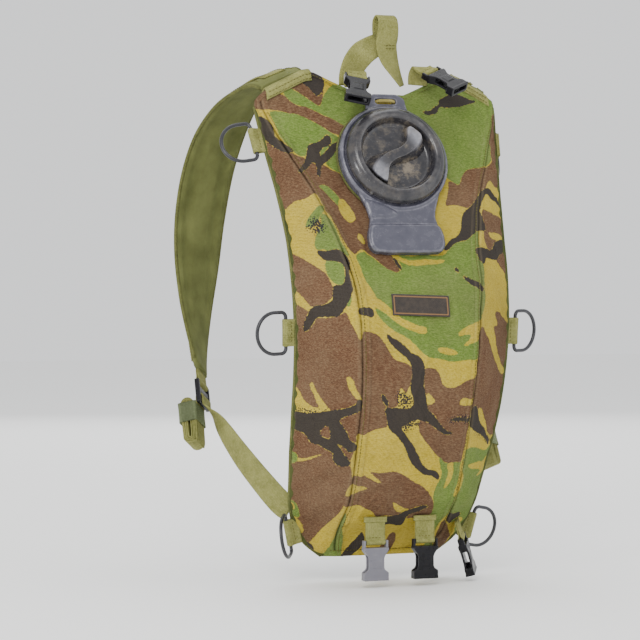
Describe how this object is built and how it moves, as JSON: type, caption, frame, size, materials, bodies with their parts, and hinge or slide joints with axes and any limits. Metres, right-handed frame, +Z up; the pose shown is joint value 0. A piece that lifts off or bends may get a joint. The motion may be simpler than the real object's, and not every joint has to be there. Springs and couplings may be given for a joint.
{
  "type": "hydration pack",
  "caption": "Arched insulated carrier with a screw-capped water reservoir, shoulder straps, lashing rings, buckle sockets and a haul handle.",
  "frame": {"origin": "middle of the flat rear face of the back pad, where the pack rests on the wearer's spine", "axes": "+Y towards the wearer, out of the back pad; -Y is the outer face with the fill port; +X to the right seen from the outer side; +Z up"},
  "size_m": [0.343, 0.2935, 0.5374],
  "materials": {
    "camo_canvas": "woven canvas, four colour disruptive print",
    "lining_nylon": "olive pack cloth",
    "pad_mesh": "spacer mesh",
    "reservoir_film": "soft film",
    "port_plastic": "satin",
    "cap_plastic": "worn gloss",
    "gasket_rubber": "matte",
    "clear_blue_plastic": "satin",
    "label_weave": "woven label, plain",
    "sand_cord": "webbing",
    "coated_wire": "black coating",
    "buckle_plastic": "moulded",
    "elastic": "elastic webbing",
    "strap_canvas": "olive canvas",
    "olive_webbing": "woven webbing"
  },
  "bodies": {
    "root": {"back_pad": "pad_mesh", "back_panel": "lining_nylon", "front_panel": "camo_canvas", "label_patch": "label_weave", "left_gusset": "camo_canvas", "left_lock_tab": "olive_webbing", "left_lower_strap": "olive_webbing", "left_shoulder_strap": "strap_canvas", "left_top_band": "olive_webbing", "lower_left_buckle_tab": "olive_webbing", "lower_left_ring_tab": "olive_webbing", "lower_right_buckle_tab": "olive_webbing", "lower_right_ring_tab": "olive_webbing", "middle_left_ring_tab": "olive_webbing", "middle_right_ring_tab": "olive_webbing", "port_collar": "port_plastic", "port_loop": "sand_cord", "reservoir": "reservoir_film", "right_gusset": "camo_canvas", "right_lock_tab": "olive_webbing", "right_lower_strap": "olive_webbing", "right_shoulder_strap": "strap_canvas", "right_top_band": "olive_webbing", "side_buckle_tab": "olive_webbing", "top_left_buckle_tab": "olive_webbing", "top_right_buckle_tab": "olive_webbing", "tube_outlet": "clear_blue_plastic", "upper_left_ring_tab": "olive_webbing", "upper_right_ring_tab": "olive_webbing"},
    "gasket_carrier": {"cap_gasket": "gasket_rubber"},
    "cap": {"fill_cap": "cap_plastic"},
    "upper_left_ring": {"upper_left_d_ring": "coated_wire"},
    "upper_right_ring": {"upper_right_d_ring": "coated_wire"},
    "middle_left_ring": {"middle_left_d_ring": "coated_wire"},
    "middle_right_ring": {"middle_right_d_ring": "coated_wire"},
    "lower_left_ring": {"lower_left_d_ring": "coated_wire"},
    "lower_right_ring": {"lower_right_d_ring": "coated_wire"},
    "lower_left_buckle_body": {"lower_left_buckle": "buckle_plastic"},
    "lower_right_buckle_body": {"lower_right_buckle": "buckle_plastic"},
    "top_left_buckle_body": {"top_left_buckle": "buckle_plastic"},
    "top_right_buckle_body": {"top_right_buckle": "buckle_plastic"},
    "side_buckle_body": {"side_buckle": "buckle_plastic"},
    "left_adjuster": {"left_strap_lock": "buckle_plastic", "left_strap_tail": "olive_webbing", "left_tail_keeper": "elastic"},
    "right_adjuster": {"right_strap_lock": "buckle_plastic", "right_strap_tail": "olive_webbing", "right_tail_keeper": "elastic"},
    "handle": {"haul_handle": "olive_webbing"}
  },
  "joints": [
    {"name": "cap_lift", "type": "slide", "parent": "root", "child": "gasket_carrier", "axis": [0, -0.9272, 0.3746], "range_m": [0, 0.0091]},
    {"name": "cap_turn", "type": "hinge", "parent": "gasket_carrier", "child": "cap", "pos_m": [-0.003, 0.002, 0.158], "axis": [0, -0.9272, 0.3746], "range_deg": [0, 540]},
    {"name": "upper_left_ring_swing", "type": "hinge", "parent": "root", "child": "upper_left_ring", "pos_m": [-0.12823, 0.04386, 0.17311], "axis": [-0.1087, 0.4091, 0.906], "range_deg": [-87, 108]},
    {"name": "upper_right_ring_swing", "type": "hinge", "parent": "root", "child": "upper_right_ring", "pos_m": [0.12114, 0.0522, 0.17019], "axis": [0.1087, 0.4091, 0.906], "range_deg": [-85, 65]},
    {"name": "middle_left_ring_swing", "type": "hinge", "parent": "root", "child": "middle_left_ring", "pos_m": [-0.11562, -0.011, -0.00522], "axis": [-0.025, -0.0493, 0.9985], "range_deg": [-109, 86]},
    {"name": "middle_right_ring_swing", "type": "hinge", "parent": "root", "child": "middle_right_ring", "pos_m": [0.11543, -0.00913, -0.00513], "axis": [0.025, -0.0493, 0.9985], "range_deg": [-128, 67]},
    {"name": "lower_left_ring_swing", "type": "hinge", "parent": "root", "child": "lower_left_ring", "pos_m": [-0.0941, 0.04361, -0.19529], "axis": [-0.2278, -0.1212, 0.9661], "range_deg": [-80, 35]},
    {"name": "lower_right_ring_swing", "type": "hinge", "parent": "root", "child": "lower_right_ring", "pos_m": [0.09463, 0.04668, -0.19503], "axis": [0.2278, -0.1212, 0.9661], "range_deg": [-111, 14]},
    {"name": "lower_left_buckle_swing", "type": "hinge", "parent": "root", "child": "lower_left_buckle_body", "pos_m": [-0.025, -0.0045, -0.2015], "axis": [1, 0, 0], "range_deg": [-100, 45]},
    {"name": "lower_right_buckle_swing", "type": "hinge", "parent": "root", "child": "lower_right_buckle_body", "pos_m": [0.025, -0.0045, -0.2015], "axis": [1, 0, 0], "range_deg": [-100, 45]},
    {"name": "top_left_buckle_swing", "type": "hinge", "parent": "root", "child": "top_left_buckle_body", "pos_m": [-0.031, 0.028, 0.234], "axis": [0.9669, -0.1804, -0.1804], "range_deg": [-70, 20]},
    {"name": "top_right_buckle_swing", "type": "hinge", "parent": "root", "child": "top_right_buckle_body", "pos_m": [0.045, 0.03, 0.241], "axis": [0.8305, 0.4456, 0.3342], "range_deg": [-70, 20]},
    {"name": "side_buckle_swing", "type": "hinge", "parent": "root", "child": "side_buckle_body", "pos_m": [0.0715, 0.0155, -0.203], "axis": [0.4636, 0.865, 0.1919], "range_deg": [-90, 5]},
    {"name": "left_adjuster_tilt", "type": "hinge", "parent": "root", "child": "left_adjuster", "pos_m": [-0.14279, 0.16285, -0.06029], "axis": [-0.5605, -0.7279, 0.3951], "range_deg": [-25, 3]},
    {"name": "right_adjuster_tilt", "type": "hinge", "parent": "root", "child": "right_adjuster", "pos_m": [0.14279, 0.16285, -0.09029], "axis": [-0.5605, 0.7279, -0.3951], "range_deg": [-25, 3]},
    {"name": "handle_fold", "type": "hinge", "parent": "root", "child": "handle", "pos_m": [0, 0.0485, 0.227], "axis": [1, 0, 0], "range_deg": [-80, 8]}
  ],
  "couplings": [
    {"joint": "cap_lift", "follows": "cap_turn", "m_per_rad": 0.00095493}
  ]
}
